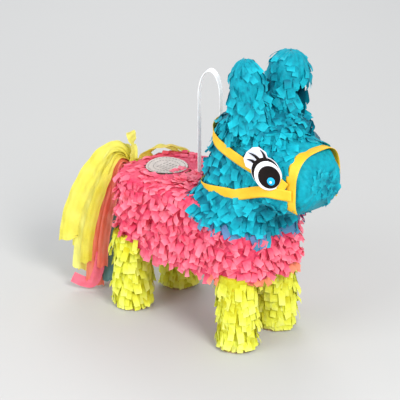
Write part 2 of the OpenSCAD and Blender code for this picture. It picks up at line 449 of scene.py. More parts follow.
def picked(pick, *lists):
    """The chosen entries of each list."""
    return [values[pick] for values in lists]


def mostly_flat(n, share, wild, flat):
    """How far n tabs lift at their roots, in radians: a `share` of them as `flat`, the rest as `wild`."""
    return np.where(rng.uniform(0, 1, n) > share, rng.uniform(*wild, n), rng.uniform(*flat, n))


def places_round(n, row, jitter):
    """Uneven places of n tabs round a skin, as fractions; every other row is half a tab further."""
    return (np.arange(n) + 0.5 * (row % 2) + rng.uniform(-jitter, jitter, n)) / n


def frame_on(skin, u, v, du=0.004, dv=0.01):
    """Where a skin is at (u, v), with its downward and outward directions."""
    at = skin(u, v)
    round_it = skin(u + du, v) - skin(u - du, v)
    down = unit(skin(u, v + dv) - skin(u, v - dv))
    out = unit(np.cross(round_it, down))
    return at, down, out


def lining(paper, skin, v, count, crumple):
    """The glued-down paper under the tabs, coloured as at a tab's root in painted shade: a whole skin over
    the heights v, softly crumpled.
    """
    u, v = np.meshgrid(np.arange(count) / count, v)
    at, _, out = frame_on(skin, u, v)
    ripple = np.sin(57 * u * TURN + 3 * np.sin(19 * v)) + np.sin(31 * v + 23 * u * TURN)
    points = at + out * (crumple * 0.4 * ripple)[..., None]
    # Marked as at a tab's root, so the tissue gives it the painted shade colour.
    paper.grids(points, vec(0.05, 0.35, 0), closed=True)


def ring(half_w, half_l, radius, u):
    """Round a rounded rectangle by fraction u of its length, from -Y by way of -X."""
    turn = -np.pi / 2 - np.linspace(0, 2 * np.pi, 721)
    nx, ny = np.round(np.cos(turn), 9), np.round(np.sin(turn), 9)
    x = np.sign(nx) * (half_w - radius) + radius * nx
    y = np.sign(ny) * (half_l - radius) + radius * ny
    s = np.concatenate([[0], np.cumsum(np.hypot(np.diff(x), np.diff(y)))])
    at = np.mod(u, 1.0) * s[-1]
    return np.interp(at, s, x), np.interp(at, s, y)


def smooth(x):
    x = np.clip(x, 0, 1)
    return x * x * (3 - 2 * x)


# ---- sizes taken from the frame

body_low, body_high = box_mm("torso_wall")
neck_high = box_mm("neck_wall")[1]
flap_low, flap_high = box_mm("fill_flap")
HALF_W, HALF_L = body_high[0], body_high[1]
BELLY, BACK = body_low[2], body_high[2]
CORNER = 31.0
LABEL_R = flap_high[0]
LABEL_Y = flap_high[1] - LABEL_R
NECK_W = neck_high[0]
NECK_L = 43.0
NECK_CORNER = 23.0
NAPE = -62.0
LEAN = np.radians(13.0)
CROWN = neck_high[2]
# How far the turquoise skin stands off the neck's card, and how high it meets the crown.
SKIN = 2.5
SKIN_TOP = CROWN + 2
# How far down that skin, as a fraction, the column ends and the shoulders end.
WAIST, SHOULDER = 0.56, 0.76
RIGHT, LEFT = -1, 1


# ---- body

HEM_Y = vec(-110, -88, -57, -32, -14)
HEM_Z = vec(119, 129, 139, 151, 158)


def hem_height(y):
    """Height of the turquoise hem over the shoulders, by place along the body."""
    return np.interp(y, HEM_Y, HEM_Z)


BODY_OUT = vec(-49, -30, -12, -3, 1.4, 2.8, 3.0, 3.0, 2.4)
BODY_Z = vec(3.0, 3.0, 3.0, 2.8, 1.4, -3, -30, -60, -76) + BACK
BODY_V = np.concatenate([[0], np.cumsum(np.hypot(np.diff(BODY_OUT), np.diff(BODY_Z)))])


def body_skin(u, v):
    """The body from the middle of the back (v = 0) out and down to the hem, v in millimetres."""
    out, z = np.interp(v, BODY_V, BODY_OUT), np.interp(v, BODY_V, BODY_Z)
    flat_x, flat_y = ring(HALF_W, HALF_L, CORNER, u)
    grow_x = 1 + out / HALF_W
    grow_y = 1 + out / HALF_L * np.where(out < 0, HALF_L / HALF_W * 0.98, 1)
    return xyz(flat_x * grow_x, flat_y * grow_y, z)


def body_belly(paper):
    """Paper glued flat under the belly, in painted shade."""
    u, k = np.meshgrid(np.arange(96) / 96, np.linspace(0.02, 1, 14))
    x, y = ring(HALF_W + 2, HALF_L + 2, CORNER, u)
    z = BELLY - 1.2 + 0.4 * np.sin(x * k * 0.4) * np.sin(y * k * 0.35)
    # Marked as at a tab's root: painted shade under the belly.
    paper.grids(xyz(x * k, y * k, z), vec(0.05, 0.3, 0), closed=True)


def off_the_label(at):
    """Clear of the label, and of the crease in front of it; any place below the back is."""
    x, y, z = at.T
    crease = (np.abs(x) < 10.5) & (y > flap_low[1] - 4.5) & (y < LABEL_Y)
    return (np.hypot(x, y - LABEL_Y) > LABEL_R + 0.6) & ~crease | (z < BACK - 2)


def off_the_crease(at):
    """Clear of the strip before the flap's crease, where the open flap stands."""
    x, y, z = at.T
    return (np.abs(x) > 27) | (y < flap_low[1] - 9) | (y > LABEL_Y) | (z < BACK - 2)


def off_the_strap(at):
    """Clear of the hanging strap, which stands up through the paper."""
    low, high = box_mm("hanging_strap")
    middle = (low + high) / 2
    return (np.hypot(at[:, 0] - middle[0], at[:, 1] - middle[1]) > 8) | (at[:, 2] < BACK - 5)


def before_flap(paper):
    """Loose tabs on the back between the hanging strap and the flap."""
    n = 64
    at = xyz(rng.uniform(-26, 26, n), rng.uniform(flap_low[1] - 24, flap_low[1] - 17, n), BODY_Z[0] + 0.4)
    at = at[off_the_strap(at)]
    n = len(at)
    down = unit(xyz(rng.normal(0, 0.5, n), rng.normal(0.6, 0.4, n), 0.06))
    up = np.tile(vec(0, 0, 1), (n, 1))
    flaps(paper, at, down, up, (6.5, 9), (9, 12), 0.14, 0.1, 0.3, 3.0)


def make_body(pink, yellow):
    """Rows of tabs from the hem up to the middle of the back, in yellow over the rear legs."""
    paper = Paper()
    lining(paper, body_skin, np.linspace(1, BODY_V[-1], 60), 160, 0.8)
    paper.drop(lambda at: ~off_the_label(at))
    paper.drop(lambda at: (at[:, 1] < -18) & (at[:, 2] > hem_height(at[:, 1]) + 6))
    body_belly(paper)
    leg_top = Paper()
    rows = np.arange(BODY_V[-1] - 3.5, 6, -8.0)
    for k, v in enumerate(rows):
        girth = 2 * np.pi * 60 + 180 if v > 50 else 2 * np.pi * max(v, 10) + 150
        n = int(girth / 6.4)
        u = places_round(n, k, 0.4)
        at, down, out = frame_on(body_skin, u, v + rng.normal(0, 1.6, n), dv=1.0)
        x, y, z = at.T
        on_side = v > 56
        under_neck = (y < -16) & (z > hem_height(y) + 2)
        keep = ~under_neck & off_the_label(at) & off_the_strap(at) & off_the_crease(at)
        rump_leg = (y > 52) & (z < 90) & (np.abs(x) > 18)
        lift = mostly_flat(n, 0.8, (0.6, 1.2), (0.1, 0.55))
        curl = rng.normal(0.0, 0.9, n)
        length = rng.uniform(9, 15.5, n)
        if k == 0:
            lift, length = lift * 0.5, rng.uniform(11, 14.5, n)
        if not on_side:
            lift, length = lift * 0.75, length * 0.9
        on_leg = (np.abs(x) > 16) & (np.abs(y) > 55)
        tint = np.where((k == 0) & on_leg, rng.uniform(0.45, 0.95, n), 0)
        width = rng.uniform(5.6, 9.4, n)
        pick = keep & ~rump_leg
        flaps(
            paper, *picked(pick, at, down, out, width, length, lift, curl), 0.52,
            8.5 if on_side else 3.8, tint[pick], hug=0.08 if 34 < v < 60 else 0,
        )
        flaps(leg_top, *picked(keep & rump_leg, at, down, out, width, length, lift, curl), 0.2, 6.5)
    before_flap(paper)
    body = paper.build("body_tissue", "donkey", [pink])
    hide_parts("body_fringe")
    leg_top.build("rump_leg_tissue", "donkey", [yellow])


# ---- neck and head

def neck_column(u, rise, out):
    """The leaning neck, `out` beyond its card, at `rise` along its lean above the back."""
    x, y = ring(NECK_W + out, NECK_L + out, NECK_CORNER + out, u)
    brow = np.clip((rise - 52) / 42, 0, 1) ** 2
    x, y = x * (1 - 0.13 * brow), y * (1 - 0.10 * brow)
    sin, cos = np.sin(LEAN), np.cos(LEAN)
    return xyz(x, NAPE + y * cos - rise * sin, BACK + y * sin + rise * cos)


def level_rise(u, z, out):
    """How far along its lean the neck reaches the height z."""
    y = ring(NECK_W + out, NECK_L + out, NECK_CORNER + out, u)[1]
    return (z - BACK - y * np.sin(LEAN)) / np.cos(LEAN)


def hem_loop(u):
    """The lower edge of the turquoise paper: round the chest and over the withers."""
    x, y = ring(HALF_W + 4, 46, 36, u)
    y = np.maximum(y - 55, -(HALF_L + 4))
    return xyz(x, y, hem_height(y))


def neck_skin(u, v):
    """From the crown (v = 0) down the neck, out over the shoulders, down to the hem (v = 1)."""
    u, v = np.broadcast_arrays(u, v)
    top, foot = level_rise(u, SKIN_TOP, SKIN), level_rise(u, BACK + 21, SKIN)
    column = neck_column(u, top + (foot - top) * v / WAIST, SKIN)
    waist = neck_column(u, foot, SKIN)
    hem = hem_loop(u)
    shoulder = hem.copy()
    shoulder[..., 2] = np.maximum(BACK - 3.5, hem[..., 2] + 0.5)
    slope = waist + (shoulder - waist) * ((v - WAIST) / (SHOULDER - WAIST))[..., None]
    side = shoulder + (hem - shoulder) * ((v - SHOULDER) / (1 - SHOULDER))[..., None]
    return np.where((v < WAIST)[..., None], column, np.where((v < SHOULDER)[..., None], slope, side))


def on_face(at):
    """The smoothly wrapped part of the head: forehead and cheeks, before and above the throat."""
    return (at[:, 1] < -84) & (at[:, 2] > 180)


def under_muzzle(at):
    """Where the muzzle is glued on and the neck has no tabs."""
    return (np.abs(at[:, 0]) < 31) & (at[:, 1] < -100) & (at[:, 2] < 229) & (at[:, 2] > 166)


def crown_height(y):
    """Height of the crown strap's middle line along the side of the head."""
    return 210.6 + 0.22 * (y + 92.5) + 0.0028 * (y + 92.5) ** 2


THROAT_Y = vec(-150, -118, -86, -50, -14)
THROAT_Z = vec(189, 188, 175.5, 170.5, 166)


def throat_height(y):
    """Height of the throat strap's middle line along the side of the head."""
    return np.interp(y, THROAT_Y, THROAT_Z)


def most_rise(at, length):
    """How far a tab may stand out here: little where a tape presses on it."""
    y, z = at[:, 1], at[:, 2]
    under = z - length * 0.5
    near = np.minimum(np.abs(under - crown_height(y)), np.abs(under - throat_height(y)))
    return np.interp(near, [7, 15], [2.2, 8.0])


def make_neck(blue):
    """Rows of tabs from the hem up to the crown: wide and flat on the face, loose elsewhere."""
    paper = Paper()
    lining(paper, neck_skin, np.linspace(-0.01, 0.985, 60), 128, 0.8)
    for k, v in enumerate(np.linspace(0.92, 0.0, 16)):
        n = int((300 + 90 * max(v - 0.5, 0)) / 7.4)
        u = places_round(n, k, 0.3)
        at, down, out = frame_on(neck_skin, u, v + rng.normal(0, 0.012, n))
        face = on_face(at)
        lift = mostly_flat(n, 0.84, (0.5, 0.9), (0.08, 0.36))
        curl = rng.normal(0.0, 0.8, n)
        length = rng.uniform(11, 15.5, n)
        width = rng.uniform(6.6, 9.6, n)
        lift = np.where(face, rng.uniform(0.02, 0.12, n), lift)
        curl = np.where(face, rng.normal(0, 0.06, n), curl)
        width = np.where(face, width * 1.7, width)
        length = np.where(face, length * 1.15, length)
        tint = np.zeros(n)
        if k == 0:
            tint = np.where(rng.uniform(0, 1, n) > 0.25, rng.uniform(0.45, 1.0, n), 0.15)
            lift, length = lift * 0.5, length * 1.15
        if k == 1:
            tint = np.where(rng.uniform(0, 1, n) > 0.86, 0.8, 0.0)
        most = np.minimum(most_rise(at, length), np.where(face, 3.0, 8.0))
        keep = ~under_muzzle(at) & off_the_strap(at)
        for pick, spread in ((keep & face, 0.12), (keep & ~face, 0.36)):
            tabs = picked(pick, at, down, out, width, length, lift, curl)
            flaps(paper, *tabs, spread, most[pick], tint[pick])
    neck = paper.build("neck_tissue", "donkey", [blue])
    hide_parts("neck_fringe", "neck_wall")


def crown_skin(u, v):
    """The rounded top of the head, v from its middle (0) to its edge (1)."""
    u, v = np.broadcast_arrays(u, v)
    edge = neck_column(u, level_rise(u, SKIN_TOP, SKIN), SKIN)
    middle = vec(0, NAPE - (CROWN - BACK) * np.tan(LEAN), SKIN_TOP)
    at = middle + (edge - middle) * v[..., None]
    at[..., 2] += 12 * (1 - v**2)
    return at


def make_crown(blue):
    """Tangled tabs between and before the ears."""
    paper = Paper()
    # The skin under the tangled tabs, marked as at a tab's root: painted shade.
    u, v = np.meshgrid(np.arange(96) / 96, np.linspace(0.02, 1.02, 14))
    paper.grids(crown_skin(u, v), vec(0.02, 0.3, 0), closed=True)
    for v in (0.88, 0.76, 0.64, 0.5, 0.36, 0.2):
        n = int(290 * v / 6.2)
        u = places_round(n, 0, 0.4)
        at, down, out = frame_on(crown_skin, u, np.full(n, v) + rng.normal(0, 0.03, n))
        lift = rng.uniform(0.05, 0.75, n)
        flaps(paper, at, down, out, (5, 9), (10, 15), lift, (-0.4, 0.7), 0.8, 7.0, hug=0.085)
    n = 110
    u = rng.normal(0, 0.15, n)
    at, down, out = frame_on(neck_skin, u, rng.uniform(0.0, 0.12, n))
    flaps(paper, at, down, out, (4, 8), (9, 15), (0.1, 0.7), (-0.1, 0.6), 1.0, 6.0)
    crown = paper.build("crown_tissue", "donkey", [blue])
    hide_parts("crown_panel")


# ---- muzzle

MUZZLE_Y = vec(-100, -122, -138, -147, -153, -157.5, -159.3)
MUZZLE_HALF = vec(39, 37.5, 34.2, 32.3, 29.8, 27, 22)
MUZZLE_LOW = vec(164, 161.5, 162, 165, 170, 176, 181)
MUZZLE_HIGH = vec(238, 236, 231, 225.5, 217, 209, 201)


def muzzle_skin(u, v):
    """The muzzle, v in millimetres forward from the head; u goes round it from the chin."""
    y = MUZZLE_Y[0] - np.asarray(v, dtype=float)
    half, low, high = (np.interp(-y, -MUZZLE_Y, line) for line in (MUZZLE_HALF, MUZZLE_LOW, MUZZLE_HIGH))
    turn = np.asarray(u) * 2 * np.pi - np.pi / 2
    power = 0.5
    x = half * np.sign(np.cos(turn)) * np.abs(np.cos(turn)) ** power
    z = (low + high) / 2 + (high - low) / 2 * np.sign(np.sin(turn)) * np.abs(np.sin(turn)) ** power
    x = x * (1 - 0.2 * np.clip((z - 196) / 34, 0, 1) ** 1.5)
    return xyz(x, y, z)


def make_muzzle(blue):
    """Crumpled paper round the muzzle and over its front, with flat scraps glued on."""
    paper = Paper()
    u, v = np.meshgrid(np.arange(120) / 120, np.linspace(0, 59.3, 56))
    at, _, out = frame_on(muzzle_skin, u, v, dv=0.6)
    folds = 0.7 * np.abs(np.sin(9 * u * TURN + 0.22 * v)) + 0.9 * np.abs(np.sin(0.23 * v + 5 * u * TURN))
    folds = folds + 1.1 * np.abs(np.sin(0.16 * v - 3 * u * TURN + 1.2)) - 0.6
    fade = np.clip((v - 6) / 14, 0.2, 1)
    points = at + out * (folds * fade - 0.2)[..., None]
    paper.grids(points, vec(0.5, 0.45, 0), closed=True)
    k = np.linspace(1, 0.02, 22)[:, None, None]
    rim = points[-1]
    middle = vec(0, -160.2, 193)
    cap = middle + (rim[None] - middle) * k
    x, z = cap[..., 0], cap[..., 2]
    creases = np.abs(np.sin(0.16 * x + 0.07 * z)) + 0.9 * np.abs(np.sin(0.1 * x - 0.17 * z))
    cap[..., 1] += (1 - k[..., 0] ** 4) * creases
    paper.grids(cap, vec(0.5, 0.5, 0), closed=True)
    for v, n in ((49, 16), (40, 20), (30, 30), (20, 30), (10, 30)):
        u = places_round(n, 0, 0.4)
        near_front = v > 35
        if near_front:
            u = u[np.sin(u * 2 * np.pi - np.pi / 2) < -0.45]
        m = len(u)
        at, down, out = frame_on(muzzle_skin, u, float(v) + rng.normal(0, 2, m), dv=0.6)
        way = -down if near_front else down * rng.choice([1, -1], (m, 1))
        flaps(paper, at, way, out, (7, 14), (8, 13), (0.02, 0.25), (0.1, 0.3), 0.5, 3.5)
    n = 26
    at = xyz(rng.uniform(-17, 17, n), -160.0, rng.uniform(180, 208, n))
    turn = rng.uniform(0, TURN, n)
    down = xyz(np.cos(turn), 0.1, np.sin(turn))
    ahead = np.tile(vec(0, -1, 0), (n, 1))
    flaps(paper, at, unit(down), ahead, (6, 12), (7, 12), 0.06, 0.05, 0.3, 1.6)
    piece = paper.build("muzzle_tissue", "donkey", [blue])
    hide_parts("muzzle_wrap", "muzzle_shell")


# ---- ears

def turned(points, degrees):
    """Turn points about X, then Y, then Z."""
    x, y, z = np.moveaxis(points, -1, 0)
    for angle in np.radians(degrees):
        y, z = y * np.cos(angle) - z * np.sin(angle), y * np.sin(angle) + z * np.cos(angle)
        x, y, z = y, z, x
    return xyz(x, y, z)


# The rounded top of an ear: how much of the way down it takes, and the height of its foot.
DOME, DOME_FOOT = 0.36, 42.0


def ear_skin(side):
    """One ear's outside, u round it from the front, v from the tip (0) down to the crown (1)."""
    if side == LEFT:
        wide, foot, tall, lean, power = 22.5, 25.5, 68.0, (3, -5, -22), 0.9
    else:
        wide, foot, tall, lean, power = 16.5, 22.0, 71.0, (-1, -5, -40), 1.05

    def skin(u, v):
        turn = -np.pi / 2 - 2 * np.pi * u
        dome = np.clip(v / DOME, 0, 1) * np.pi / 2
        below = np.interp(v, [DOME, 0.6, 1], [wide, wide + 0.5, foot])
        r = np.where(v < DOME, wide * np.sin(dome) ** power, below)
        high = DOME_FOOT + (tall - DOME_FOOT) * np.cos(dome)
        z = np.where(v < DOME, high, np.interp(v, [DOME, 1], [DOME_FOOT, -3]))
        pleat = 1 + 0.035 * np.sin(9 * turn + 5 * v) * np.clip(v / 0.15, 0, 1)
        local = xyz(r * pleat * np.cos(turn), 0.9 * r * pleat * np.sin(turn), z)
        world = turned(local, lean) + vec(-26, -84, CROWN + 1.7)
        return world * vec(-side, 1, 1)

    return skin


def make_ear(side, name, nodes, blue):
    """A hooded ear: a creased dome, fringed round the sides, with a hollow before it whose inside is painted
    shade.
    """
    skin = ear_skin(side)
    paper = Paper()
    # A left ear is mirrored, which turns its outside in.
    facing = -side
    # How far down the front of the ear is closed.
    brow = 0.4 if side == LEFT else 0.97
    u, v = np.meshgrid(np.linspace(0, 1, 97), np.linspace(0.01, brow, 36))
    at, _, out = frame_on(skin, u, v)
    crease = 1.1 * np.abs(np.sin(9 * u * TURN + 7 * v)) + 0.9 * np.abs(np.sin(17 * v + 5 * u * TURN))
    paper.grids(at + out * facing * (crease * np.clip(v / 0.1, 0, 1))[..., None], vec(0.4, 0.42, 0))
    u, v = np.meshgrid(np.linspace(0.13, 0.87, 49), np.linspace(brow, 1, 22))
    # The skin under the fringe, marked as at a tab's root: painted shade.
    paper.grids(skin(u, v), vec(0.03, 0.3, 0))
    # The inside of the hollow, marked darkest of all: painted shade.
    middle = skin(np.full((1, 1), 0.5), v[:, :1]) * 0.35 + skin(np.zeros((1, 1)), v[:, :1]) * 0.65
    inner = middle + (skin(u, v) - middle) * 0.86
    paper.grids(inner, vec(0.0, 0.1, 0))
    for k, v in enumerate((1.0, 0.92, 0.84, 0.76, 0.68, 0.6, 0.52, 0.44, 0.34, 0.22, 0.1)):
        if v > DOME:
            n = int(2 * np.pi * 24 / 7)
        else:
            n = int(2 * np.pi * (22 * np.sin(v / DOME * 1.57) + 3) / 9.5)
        u = places_round(n, k, 0.3)
        front = np.abs((u + 0.5) % 1 - 0.5)
        at, down, out = frame_on(skin, u, v + rng.normal(0, 0.012, n))
        out = out * facing
        lift = mostly_flat(n, 0.75 if v > 0.2 else 1, (0.4, 0.9), (0.04, 0.34))
        pick = ~((front < 0.13) & (v > brow))
        curl = (-0.1, 0.5 if v > DOME else 0.15)
        hug = 0.03 if v < DOME else 0.0
        tabs = picked(pick, at, down, out)
        flaps(paper, *tabs, (6.5, 9.5), (11, 15.5), lift[pick], curl, 0.45, 4.5, hug=hug)
    n = 9 if side == LEFT else 2
    u = np.linspace(-0.17, 0.17, n) + rng.normal(0, 0.01, n)
    at, down, out = frame_on(skin, u, np.full(n, brow - 0.06))
    flaps(paper, at, down, out * facing, (6.5, 9), (11, 16), (0.1, 0.5), (-0.2, 0.2), 0.14, 4.0)
    for v in (0.9, 0.76, 0.64):
        u = np.linspace(0.2, 0.8, 8) + rng.normal(0, 0.02, 8)
        heights = np.full(8, v) + rng.normal(0, 0.02, 8)
        at, down, out = frame_on(skin, u, heights)
        core = skin(np.zeros(8), heights) * 0.65 + skin(np.full(8, 0.5), heights) * 0.35
        at = core + (at - core) * 0.84
        # The tabs inside the hollow get only the darker half of chances: painted shade.
        length, chance = rng.uniform(9, 13, 8), rng.uniform(0, 0.5, 8)
        flaps(paper, at, down, -out * facing, 8.0, length, 0.1, 0.2, 0.2, 4.0, chance=chance)
    piece = paper.build(name, "donkey", [blue])
    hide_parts(*nodes)


# ---- legs

def make_leg(which, yellow):
    """One leg: its lining, closed at the top, and rows of tabs from the foot up."""
    low, high = box_mm("leg_tube_" + which)
    middle = (low + high) / 2
    radius = (high[0] - low[0]) / 2 + 0.9
    top = BELLY - 2

    def skin(u, v):
        turn = -np.pi / 2 - 2 * np.pi * u
        return xyz(middle[0] + radius * np.cos(turn), middle[1] + radius * np.sin(turn), top - v)

    paper = Paper()
    above = -9.0 if "rear" in which else -6.5
    lining(paper, skin, np.linspace(above, top - 2.5, 24), 56, 0.5)
    # The lid at the top of the leg, marked as at a tab's root: painted shade under the belly.
    u, k = np.meshgrid(np.arange(56) / 56, np.linspace(0.03, 1.0, 6))
    lid = skin(u, np.full(u.shape, above))
    centre = vec(middle[0], middle[1], top - above)
    paper.grids(centre + (lid - centre) * k[..., None], vec(0.05, 0.35, 0), closed=True)
    for k, z in enumerate(np.arange(13.0, top - above, 9.2)):
        n = 19
        u = places_round(n, k, 0.35)
        at, down, out = frame_on(skin, u, top - z + rng.normal(0, 1.3, n), dv=1.0)
        wild = rng.uniform(0, 1, n) > 0.88
        lift = np.where(wild, rng.uniform(0.35, 0.8, n), rng.uniform(0.04, 0.22, n))
        length = rng.uniform(13, 18, n)
        if k == 0:
            length = at[:, 2] - rng.uniform(0.8, 3.0, n)
        most = np.where(wild, 8.0, 4.2)
        flaps(paper, at, down, out, (6.2, 9.4), length, lift, (0.02, 0.28), 0.14, most)
    piece = paper.build("leg_tissue_" + which, "donkey", [yellow])
    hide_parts("leg_fringe_" + which)


# ---- bridle

def along_curve(points, steps):
    """A smooth curve through given points, at even steps."""
    points = np.asarray(points, dtype=float)
    padded = np.concatenate([[2 * points[0] - points[1]], points, [2 * points[-1] - points[-2]]])
    out = []
    for a, b, c, d in zip(padded, padded[1:], padded[2:], padded[3:]):
        square, cube = 2 * a - 5 * b + 4 * c - d, 3 * b - a - 3 * c + d
        for t in np.linspace(0, 1, 24, endpoint=False):
            out.append(0.5 * (2 * b + (c - a) * t + square * t * t + cube * t**3))
    out = np.array(out + [points[-1]])
    s = np.concatenate([[0], np.cumsum(np.linalg.norm(np.diff(out, axis=0), axis=1))])
    even = np.linspace(0, s[-1], steps)
    return np.stack([np.interp(even, s, out[:, i]) for i in range(3)], axis=1)


def ribbon(paper, path, across, width, end_slant=(0.0, 0.0)):
    """A tape along a path, its width along `across`, with cut ends that may slant."""
    n = len(path)
    along = unit(np.gradient(path, axis=0))
    across = unit(across - along * (across * along).sum(axis=1, keepdims=True))
    normal = np.cross(along, across)
    s = np.linspace(-0.5, 0.5, 7)
    ripple = 0.25 * np.sin(np.linspace(0, 21, n))[:, None] * np.sin(4 * s + 1)[None]
    slant = np.zeros((n, 7))
    slant[:3] = end_slant[0] * s
    slant[-3:] = end_slant[1] * s
    points = path[:, None] + across[:, None] * (width * s)[None, :, None]
    points = points + normal[:, None] * ripple[..., None] + along[:, None] * slant[..., None]
    paper.grids(points, vec(0.5, 0.5, 0))


def make_side_strap(name, height, out, node, gold, front):
    """A tape from the noseband on one side, round the back of the head, to the other side."""
    u = np.linspace(0.21, 0.79, 61)
    rise = level_rise(u, 200.0, out)
    for _ in range(12):
        around = neck_column(u, rise, out)
        rise = rise + (height(around[:, 1]) - around[:, 2]) * 0.8
    mirrored = [(-x, y, z) for x, y, z in reversed(front)]
    path = along_curve(np.concatenate([front, around[::3], mirrored]), 160)
    paper = Paper()
    ribbon(paper, path, np.tile(vec(0, 0, 1), (160, 1)), 11.8)
    piece = paper.build(name, "donkey", [gold], 0.35)
    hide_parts(node)


def make_noseband(gold):
    """A tape over the muzzle, with its two slanting ends under the cheeks."""
    u = np.linspace(0.855, 0.145, 75)
    at, _, out = frame_on(muzzle_skin, u, np.full(75, 44.0), dv=0.6)
    path = at + out * 2.2
    path[:, 1] -= 2.0 * np.sin(np.linspace(0, np.pi, 75))
    path = along_curve(path[::3], 96)
    outward = unit((path - vec(0, -146, 196)) * vec(1, 0, 1))
    across = unit(np.cross(outward, unit(np.gradient(path, axis=0))))
    paper = Paper()
    ribbon(paper, path, across, 13.4, (3.2, -3.2))
    piece = paper.build("nose_tape", "donkey", [gold], 0.35)
    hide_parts("noseband")


# ---- eyes

def disc(centre, radius, squash=1.0, n=48):
    t = np.linspace(0, 2 * np.pi, n, endpoint=False)
    return np.stack([centre[0] + radius * np.cos(t), centre[1] + radius * squash * np.sin(t)], axis=1)


def lash(tip, root, width):
    """A dark lash, wide at its root and curving to a point."""
    tip, root = vec(*tip), vec(*root)
    run = root - tip
    across = unit(vec(-run[1], run[0]))
    t = np.linspace(0, 1, 9)[:, None]
    middle = tip + run * t + across * 1.6 * np.sin(np.pi * t)
    half = width / 2 * t**0.8
    return np.concatenate([middle + across * half, (middle - across * half)[::-1][:-1]])


def make_eye(side, name, node, inks):
    """A die-cut sticker in printed layers, each a hair above the one below."""
    white, black, cyan, pale = range(4)
    low, high = box_mm(node)
    hub = (low + high) / 2
    turn = np.radians(19.0)
    normal = vec(-np.cos(turn), -np.sin(turn), 0)
    forward = vec(np.sin(turn), -np.cos(turn), 0)
    off_card, raised = (2.6, 3.0) if side == RIGHT else (1.8, -4.0)
    origin = vec(-abs(hub[0]), hub[1], hub[2] + raised) + normal * off_card + forward * 3.0
    fan = [(-24, 5), (-27, 12.8), (-24.2, 20), (-17.6, 26.2)]
    fan += [(-10.6, 27.8), (-2.3, 23.8), (1.1, 16.4), (-8, 0)]
    layers = [
        (disc((-2.2, 3.0), 15.9), white),
        (disc((0.4, 0), 15.2, 1.05), white),
        (np.array(fan), pale),
        (disc((-2.2, 3.0), 15.2), black),
        (lash((-23.6, 12.8), (-12, 9.5), 4.6), black),
        (lash((-22.2, 20.3), (-8, 13.5), 4.6), black),
        (lash((-9.2, 25.8), (-2.5, 15.5), 4.2), black),
        (disc((0.4, 0), 14.4, 1.05), white),
        (disc((2.4, -1.4), 12.0), black),
        (disc((4.6, -5.4), 4.2), cyan),
        (disc((4.4, -6.4), 1.3), white),
    ]
    paper = Paper()
    for k, (shape, ink) in enumerate(layers):
        bow = -0.0035 * shape[:, :1] ** 2 - 0.003 * np.maximum(shape[:, 1:], 0) ** 2
        points = origin + shape[:, :1] * forward + shape[:, 1:] * vec(0, 0, 1) + normal * (0.16 * k + bow)
        if side == LEFT:
            points = points[::-1] * vec(-1, 1, 1)
        paper.outline(points, ink)
    piece = paper.build(name, "donkey", inks)
    for polygon in piece.data.polygons:
        polygon.use_smooth = False
    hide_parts(node)


# ---- label

def make_label(silver, ink):
    """Round label on the fill flap, gently wavy, with plain rings of dashes."""
    z = box_mm("fill_label")[1][2]
    radii, turns = np.linspace(0.2, LABEL_R - 0.1, 14), np.arange(72) * 2 * np.pi / 72
    r, t = np.meshgrid(radii, turns, indexing="ij")

    def on_label(x, y, above):
        """Points on the wavy label or a little above it, by place from its middle."""
        far = np.clip((0.7 * x + 0.7 * y) / LABEL_R, 0, 1)
        wave = 2.0 + 0.5 * np.sin(x * 0.13 + 1) * np.sin(y * 0.11) + 2.2 * far**2
        return xyz(x, LABEL_Y + y, z + wave + above)

    paper = Paper()
    paper.grids(on_label(r * np.cos(t), r * np.sin(t), 0), vec(0, 0, 0), closed=True)
    for radius, n, share in ((20.3, 34, 0.5), (14.6, 26, 0.6)):
        for k in range(n):
            a = 2 * np.pi * (k + np.linspace(0, share, 4)) / n
            r = np.array([[radius - 0.5], [radius + 0.5]])
            paper.grids(on_label(r * np.cos(a), r * np.sin(a), 0.08), vec(0, 0, 0), 1)
    for row in (-6.5, -2.2, 2.2, 6.5):
        for start in (-9, -4.5, 1.5, 6):
            x, y = np.linspace(start, start + 3.2, 4)[None], row + np.array([[-0.55], [0.55]])
            paper.grids(on_label(x, y, 0.08), vec(0, 0, 0), 1)
    piece = paper.build("label_disc", "flap", [silver, ink])
    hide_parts("fill_label")


def make_flap_tabs(pink):
    """Tissue over the flap's crease, whose tips lie on the edge of the label."""
    paper = Paper()
    x, y = np.meshgrid(np.linspace(-9.6, 9.6, 12), np.linspace(flap_low[1] + 0.6, flap_low[1] + 9, 8))
    z = flap_high[2] + 0.9 + 0.25 * np.sin(x * 0.9) * np.sin(y * 0.8)
    # Marked near a tab's root: painted shade under the tabs.
    paper.grids(xyz(x, y, z), vec(0.1, 0.35, 0))
    n = 5
    up = np.tile(vec(0, 0, 1), (n, 1))
    for row in (3.0, 6.0):
        x = np.linspace(-7.6, 7.6, n) + rng.normal(0, 0.5, n)
        at = xyz(x, flap_low[1] + row, flap_high[2] + 1.0)
        down = unit(xyz(rng.normal(0, 0.2, n), 1.0, 0.16))
        flaps(paper, at, down, up, 6.5, (7, 10), 0.08, 0.05, 0.2, 1.6)
    paper.build("flap_tissue", "flap", [pink])


# ---- tail

ROOT = vec(0, 113.5, 149.0)


def crepe_strip(name, body, points, chance, path, material):
    along = np.linspace(0, 1, len(path))[:, None] + 0 * points[..., 0]
    paper = Paper()
    paper.grids(points, xyz(along, chance, 0))
    piece = paper.build(name, body, [material])
    return piece


